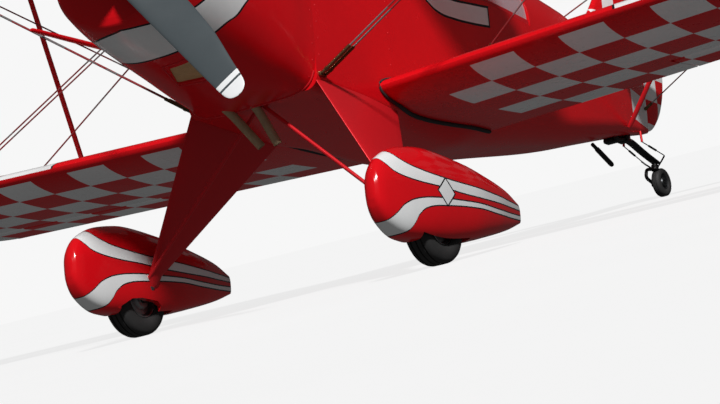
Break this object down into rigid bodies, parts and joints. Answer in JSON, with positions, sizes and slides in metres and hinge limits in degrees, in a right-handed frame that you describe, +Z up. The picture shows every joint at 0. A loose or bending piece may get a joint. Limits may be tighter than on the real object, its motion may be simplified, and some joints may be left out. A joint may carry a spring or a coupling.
{
  "type": "biplane",
  "caption": "Single-seat aerobatic biplane parked on spatted main wheels and a steerable tailwheel, with braced wings, hinged canopy, propeller and working control surfaces.",
  "frame": {"origin": "on the floor below the middle of the aircraft's bounding box, as it stands parked", "axes": "+X to port along the wings, -Y towards the nose, +Z up"},
  "size_m": [6.092, 5.3226, 2.3393],
  "materials": {
    "red_paint": "gloss red paint over fabric and sheet",
    "grey_blade": "satin dark grey paint with white tips",
    "wire_steel": "bright streamlined wire",
    "axle_steel": "machined steel",
    "rim_silver": "cast aluminium",
    "exhaust": "heat-browned steel",
    "black_paint": "black paint",
    "tyre": "matt tyre rubber",
    "engine": "grey casting",
    "glazing": "clear acrylic glazing",
    "seat": "dark padded leather",
    "panel": "matt black"
  },
  "bodies": {
    "airframe": {"axle_port": "axle_steel", "axle_starboard": "axle_steel", "belly_aerial": "black_paint", "cabane_struts_port": "red_paint", "cabane_struts_starboard": "red_paint", "control_column": "black_paint", "engine_block": "engine", "engine_cowl": "red_paint", "exhaust_port": "exhaust", "exhaust_starboard": "exhaust", "fin": "red_paint", "flying_wires_port": "wire_steel", "flying_wires_starboard": "wire_steel", "fuselage": "red_paint", "gear_brace_rods": "red_paint", "gear_leg_port": "red_paint", "gear_leg_starboard": "red_paint", "instrument_panel": "panel", "interplane_strut_port": "red_paint", "interplane_strut_starboard": "red_paint", "javelin_port": "red_paint", "javelin_starboard": "red_paint", "landing_wires_port": "wire_steel", "landing_wires_starboard": "wire_steel", "lower_wing_port": "red_paint", "lower_wing_starboard": "red_paint", "seat": "seat", "tail_spring": "black_paint", "tail_strut_port": "red_paint", "tail_strut_starboard": "red_paint", "tail_wire_port": "wire_steel", "tail_wire_starboard": "wire_steel", "tailplane": "red_paint", "upper_wing": "red_paint", "wheel_pant_port": "red_paint", "wheel_pant_starboard": "red_paint", "windscreen": "glazing"},
    "propeller": {"propeller": "grey_blade", "spinner": "red_paint"},
    "rudder": {"rudder": "red_paint"},
    "elevator": {"elevator": "red_paint"},
    "canopy": {"canopy_frame": "red_paint", "canopy_glass": "glazing"},
    "tailwheel_fork": {"tailwheel_fork": "black_paint"},
    "tailwheel": {"tailwheel_tyre": "tyre", "tailwheel_hub": "rim_silver"},
    "wheel_port": {"tyre_port": "tyre", "rim_port": "rim_silver"},
    "aileron_lower_port": {"aileron_lower_port": "red_paint"},
    "aileron_upper_port": {"aileron_upper_port": "red_paint"},
    "slave_strut_port": {"slave_strut_port": "red_paint"},
    "wheel_starboard": {"tyre_starboard": "tyre", "rim_starboard": "rim_silver"},
    "aileron_lower_starboard": {"aileron_lower_starboard": "red_paint"},
    "aileron_upper_starboard": {"aileron_upper_starboard": "red_paint"},
    "slave_strut_starboard": {"slave_strut_starboard": "red_paint"}
  },
  "joints": [
    {"name": "propeller_spin", "type": "hinge", "parent": "airframe", "child": "propeller", "pos_m": [0, -2.31126, 1.59607], "axis": [0, 0.9586, -0.2849], "continuous": true},
    {"name": "rudder_turn", "type": "hinge", "parent": "airframe", "child": "rudder", "pos_m": [0, 2.36601, 0.77984], "axis": [0, 0.2849, 0.9586], "range_deg": [-30, 30]},
    {"name": "elevator_turn", "type": "hinge", "parent": "airframe", "child": "elevator", "pos_m": [0, 2.08337, 0.81168], "axis": [1, 0, 0], "range_deg": [-25, 25]},
    {"name": "canopy_open", "type": "hinge", "parent": "airframe", "child": "canopy", "pos_m": [-0.338, 0.19999, 1.14396], "axis": [0, -0.9586, 0.2849], "range_deg": [0, 95]},
    {"name": "tailwheel_steer", "type": "hinge", "parent": "airframe", "child": "tailwheel_fork", "pos_m": [0, 2.24248, 0.1781], "axis": [0, 0, 1], "range_deg": [-30, 30]},
    {"name": "tailwheel_roll", "type": "hinge", "parent": "tailwheel_fork", "child": "tailwheel", "pos_m": [0, 2.26583, 0.078], "axis": [1, 0, 0], "continuous": true},
    {"name": "wheel_port_roll", "type": "hinge", "parent": "airframe", "child": "wheel_port", "pos_m": [0.793, -1.58504, 0.165], "axis": [1, 0, 0], "continuous": true},
    {"name": "aileron_lower_port_turn", "type": "hinge", "parent": "airframe", "child": "aileron_lower_port", "pos_m": [2.02, -0.21379, 0.66586], "axis": [0.9992, 0.0114, 0.0385], "range_deg": [-22, 22]},
    {"name": "aileron_upper_port_turn", "type": "hinge", "parent": "airframe", "child": "aileron_upper_port", "pos_m": [2.02, -0.30276, 1.94017], "axis": [0.9932, 0.1113, -0.0331], "range_deg": [-22, 22]},
    {"name": "slave_strut_port_turn", "type": "hinge", "parent": "aileron_lower_port", "child": "slave_strut_port", "pos_m": [1.96, -0.12971, 0.70304], "axis": [1, 0, 0], "range_deg": [-25, 25]},
    {"name": "wheel_starboard_roll", "type": "hinge", "parent": "airframe", "child": "wheel_starboard", "pos_m": [-0.793, -1.58504, 0.165], "axis": [1, 0, 0], "continuous": true},
    {"name": "aileron_lower_starboard_turn", "type": "hinge", "parent": "airframe", "child": "aileron_lower_starboard", "pos_m": [-2.02, -0.21379, 0.66586], "axis": [0.9992, -0.0114, -0.0385], "range_deg": [-22, 22]},
    {"name": "aileron_upper_starboard_turn", "type": "hinge", "parent": "airframe", "child": "aileron_upper_starboard", "pos_m": [-2.02, -0.30276, 1.94017], "axis": [0.9932, -0.1113, 0.0331], "range_deg": [-22, 22]},
    {"name": "slave_strut_starboard_turn", "type": "hinge", "parent": "aileron_lower_starboard", "child": "slave_strut_starboard", "pos_m": [-1.96, -0.12971, 0.70304], "axis": [1, 0, 0], "range_deg": [-25, 25]}
  ],
  "couplings": [
    {"joint": "aileron_upper_port_turn", "follows": "aileron_lower_port_turn", "ratio": 1},
    {"joint": "aileron_lower_starboard_turn", "follows": "aileron_lower_port_turn", "ratio": -1},
    {"joint": "aileron_upper_starboard_turn", "follows": "aileron_lower_port_turn", "ratio": -1},
    {"joint": "slave_strut_port_turn", "follows": "aileron_lower_port_turn", "ratio": -1.09},
    {"joint": "slave_strut_starboard_turn", "follows": "aileron_lower_port_turn", "ratio": 1.09},
    {"joint": "tailwheel_steer", "follows": "rudder_turn", "ratio": 1}
  ]
}
